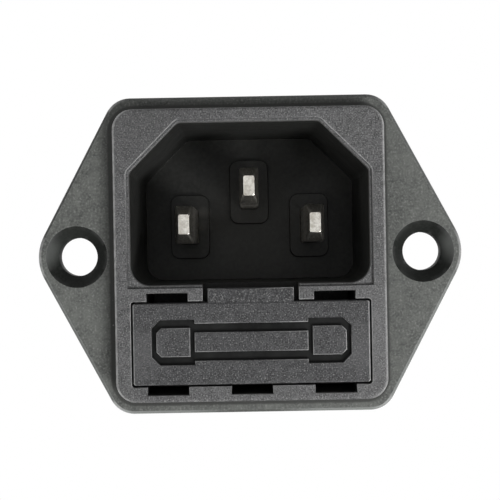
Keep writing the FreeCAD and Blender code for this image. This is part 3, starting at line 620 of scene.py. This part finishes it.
# Millimetres that tell one stretch of the housing from the next
margins = {"plane": 0.02, "sideWall": 0.9, "endWall": 0.5, "drawerTop": 0.2, "floor": 0.2,
           "pastFloor": 2.5, "rounded": 0.14, "lip": 0.06, "rim": 0.01}


def insideOpening(place):
    # Within the socket's mouth or the drawer's bay
    return (abs(place.x) < bezelHalfWidth - margins["sideWall"] * mm
            and abs(place.z) < bezelHalfHeight - margins["endWall"] * mm)


def besideSocket(place):
    return place.z > drawerHigh.z + margins["drawerTop"] * mm


def besideDrawer(place):
    return not besideSocket(place)


def onPinBoss(place):
    return (insideOpening(place) and besideSocket(place)
            and abs(place.y - socketFloor) < housingSizes["tallestBoss"] * mm)


def outsideOpening(place):
    return not insideOpening(place) or place.y > socketFloor + margins["pastFloor"] * mm


def belowLip(place):
    return insideOpening(place) and place.y > rebateFloor - margins["lip"] * mm


def openingRegion(centre, normal):
    facesFront = normal.y < -0.5
    rounded = centre.y < frontPlane + margins["rounded"] * mm
    if centre.y < rebateFloor + margins["plane"] * mm and (facesFront or rounded):
        return "bezel"
    if centre.z <= drawerHigh.z - margins["drawerTop"] * mm:
        return "smooth"
    return "floor" if centre.y > socketFloor - housingSizes["tallestBoss"] * mm else "wall"


def housingRegion(face):
    centre = face.calc_center_median()
    small = margins["plane"] * mm
    if insideOpening(centre) and centre.y < socketFloor + margins["floor"] * mm:
        return openingRegion(centre, face.normal)
    holeDistance = math.hypot(abs(centre.x) - holeX, centre.z)
    if holeDistance < housingSizes["countersinkRadius"] * mm and centre.y > flangeFront + small:
        return "countersink"
    if centre.y < flangeFront - small:
        return "bezel"
    if centre.y < flangeFront + small:
        return "flange"
    if centre.y < flangeFront + (housingSizes["rimChamfer"] + margins["rim"]) * mm:
        return "rim"
    return "flange" if centre.y < -small else "body"


def housingPick(face):
    return housingFinishes.index(housingRegion(face))


# Each group of edges is rounded by itself, because the tightest corner of a group sets its limit
housing = mergedCopy("housing", halved=True)
bevelEdges(housing, levelEdges(housing, rebateFloor), housingSizes["lipRounding"], 4)
bevelEdges(housing, levelEdges(housing, frontPlane, besideSocket), housingSizes["frontRounding"], 3,
           clamped=False)
bevelEdges(housing, levelEdges(housing, frontPlane, besideDrawer), housingSizes["bayRounding"], 3,
           clamped=False)
bevelEdges(housing, sharpEdges(housing, keep=outsideOpening), housingSizes["edgeRounding"], 2)
bevelEdges(housing, sharpEdges(housing, keep=onPinBoss), housingSizes["bossRounding"], 2)
markEdges(housing, belowLip)
finishPiece(housing, "housing_moulding", "housing",
            [finishes[key] for key in housingFinishes], housingPick)

# The drawer's face is grained, its symbol is a smooth groove, and the tray behind is plain
drawerSizes = {"faceThickness": 2.0, "faceHeight": 8.36, "symbolDepth": 0.45, "symbolHalfWidth": 11.0,
               "symbolHalfHeight": 3.2, "symbolRounding": 0.1, "outlineRounding": 0.07,
               "edgeRounding": 0.04, "roundedDepth": 0.13, "plainDepth": 0.5}
drawerFinishes = ["drawerFace", "groove", "body"]


def onSymbol(place):
    middle = drawerLow.z + drawerSizes["faceHeight"] / 2 * mm
    return (abs(place.x) < drawerSizes["symbolHalfWidth"] * mm
            and abs(place.z - middle) < drawerSizes["symbolHalfHeight"] * mm)


def offSymbol(place):
    return not onSymbol(place)


def behindFront(place):
    return place.y > frontPlane + drawerSizes["plainDepth"] * mm


def drawerRegion(face):
    centre = face.calc_center_median()
    depth = (centre.y - frontPlane) / mm
    if depth < drawerSizes["roundedDepth"]:
        return "drawerFace"
    if depth < drawerSizes["symbolDepth"] + margins["plane"]:
        return "groove" if onSymbol(centre) else "drawerFace"
    return "drawerFace" if depth < drawerSizes["faceThickness"] + margins["rim"] else "body"


def drawerPick(face):
    return drawerFinishes.index(drawerRegion(face))


drawer = mergedCopy("fuse_drawer", halved=True)
bevelEdges(drawer, levelEdges(drawer, frontPlane, onSymbol), drawerSizes["symbolRounding"], 3,
           clamped=False)
bevelEdges(drawer, levelEdges(drawer, frontPlane, offSymbol), drawerSizes["outlineRounding"], 3,
           clamped=False)
bevelEdges(drawer, sharpEdges(drawer, keep=behindFront), drawerSizes["edgeRounding"], 2)
markEdges(drawer, rightShare=1.0)
finishPiece(drawer, "drawer_moulding", "fuse_drawer",
            [finishes[key] for key in drawerFinishes], drawerPick)

coverSizes = {"edgeRounding": 0.08}
cover = mergedCopy("rear_cover")
bevelEdges(cover, sharpEdges(cover), coverSizes["edgeRounding"], 2)
markEdges(cover)
finishPiece(cover, "cover_moulding", "rear_cover", [finishes["cover"]])
print("mouldings made")

# Metal, glass and wire pieces: nodes, slot, finish and edge rounding in millimetres
smallPieces = (
    (("line_pin", "neutral_pin", "earth_pin"), "pin_nickel", "nickel", 0.08),
    (("earth_terminal", "neutral_terminal", "load_terminal", "line_feed_strap"),
     "terminal_tin", "tin", 0.07),
    (("fuse_spring_right", "fuse_spring_left"), "spring_bronze", "bronze", 0.04),
    (("spring_rivet_right", "spring_rivet_left"), "rivet_brass", "brass", 0.05),
    (("fuse_cap_left", "fuse_cap_right", "spare_fuse_cap_left", "spare_fuse_cap_right"),
     "cap_nickel", "cap", 0.06),
    (("fuse_tube", "spare_fuse_tube"), "fuse_glass", "glass", 0.05),
    (("fuse_wire", "spare_fuse_wire"), "fuse_wire", "wire", 0.02),
)
for nodeNames, slotName, finish, rounding in smallPieces:
    for nodeName in nodeNames:
        shape = mergedCopy(nodeName)
        bevelEdges(shape, sharpEdges(shape), rounding, 2)
        markEdges(shape)
        finishPiece(shape, nodeName + "_finished", nodeName, [finishes[finish]])
print("small pieces made:", sum(len(nodeNames) for nodeNames, *_ in smallPieces))


# Floor, background, lamps and camera

studio = {
    "cameraPlace": (0.0, -0.1174, 0.00042), "lens": 79.47, "sensor": 36.0, "rollDegrees": 1.0,
    "clip": (0.005, 20.0), "floorHeight": -0.34, "floorSize": 6.0, "floorColour": (0.80, 0.80, 0.79),
    "floorRoughness": 0.9, "fibreLift": 0.04, "fibresPerMetre": 60.0, "ambient": 0.2,
    # each lamp's place, size and power
    "lamps": {"key": ((0.255, -0.36, -0.25), 0.23, 2.6), "fill": ((-0.30, -0.32, -0.18), 0.2, 0.43),
              "back": ((-0.22, 0.42, 0.30), 0.3, 1.1), "side": ((0.40, 0.20, 0.20), 0.25, 0.5)},
}
white = (1.0, 1.0, 1.0, 1.0)


def mixShaders(tree, amount, first, second, output):
    mix = addNode(tree, "ShaderNodeMixShader")
    tree.links.new(amount, mix.inputs["Fac"])
    tree.links.new(first.outputs[0], mix.inputs[1])
    tree.links.new(second.outputs[0], mix.inputs[2])
    tree.links.new(mix.outputs[0], output.inputs["Surface"])


def makeWorld():
    # White to the camera, in reflections and through glass, and a soft light on everything else
    world = bpy.data.worlds.new("studioWhite")
    bpy.context.scene.world = world
    world.use_nodes = True
    tree = world.node_tree
    tree.nodes.clear()
    path = addNode(tree, "ShaderNodeLightPath")
    seen = mathNode(tree, "MAXIMUM", path.outputs["Is Camera Ray"], path.outputs["Is Glossy Ray"])
    seen = mathNode(tree, "MAXIMUM", seen, path.outputs["Is Transmission Ray"])
    soft = addNode(tree, "ShaderNodeBackground", {"Color": white, "Strength": studio["ambient"]})
    bright = addNode(tree, "ShaderNodeBackground", {"Color": white, "Strength": 1.0})
    mixShaders(tree, seen, soft, bright, addNode(tree, "ShaderNodeOutputWorld"))


def makeFloor():
    bm = bmesh.new()
    bmesh.ops.create_grid(bm, x_segments=4, y_segments=4, size=studio["floorSize"] / 2)
    bmesh.ops.translate(bm, verts=bm.verts, vec=(0.0, 0.0, studio["floorHeight"]))
    mesh = bpy.data.meshes.new("floor")
    bm.to_mesh(mesh)
    bm.free()
    floor = linkToScene("floor", mesh)
    material, tree, shader = newMaterial("floorPaper")
    pale = studio["floorColour"]
    paler = tuple(part + studio["fibreLift"] for part in pale)
    fibre = noiseNode(tree, objectPlace(tree), studio["fibresPerMetre"], 4.0, 0.6)
    feed(tree, shader.inputs["Base Color"], colourMix(tree, fibre, pale, paler))
    shader.inputs["Roughness"].default_value = studio["floorRoughness"]
    # The camera sees it as plain white
    path = addNode(tree, "ShaderNodeLightPath")
    bright = addNode(tree, "ShaderNodeEmission", {"Color": white, "Strength": 1.0})
    mixShaders(tree, path.outputs["Is Camera Ray"], shader, bright, tree.nodes["Material Output"])
    mesh.materials.append(material)


def makeLamp(name, place, size, power):
    data = bpy.data.lights.new(name, "AREA")
    data.shape = "DISK"
    data.size = size
    data.energy = power
    lamp = linkToScene(name, data)
    lamp.location = place
    lamp.rotation_euler = (-Vector(place)).to_track_quat("-Z", "Y").to_euler()


def makeCamera():
    data = bpy.data.cameras.new("camera")
    data.lens = studio["lens"]
    data.sensor_width = studio["sensor"]
    data.clip_start, data.clip_end = studio["clip"]
    camera = linkToScene("camera", data)
    camera.location = studio["cameraPlace"]
    facing = Matrix.Rotation(math.radians(90), 4, "X")
    roll = Matrix.Rotation(math.radians(studio["rollDegrees"]), 4, "Y")
    camera.rotation_euler = (roll @ facing).to_euler()
    bpy.context.scene.camera = camera


makeWorld()
makeFloor()
for lampName, (lampPlace, lampSize, lampPower) in studio["lamps"].items():
    makeLamp(lampName + "Lamp", lampPlace, lampSize, lampPower)
makeCamera()
bpy.context.scene.view_settings.view_transform = "Standard"
print("studio set")
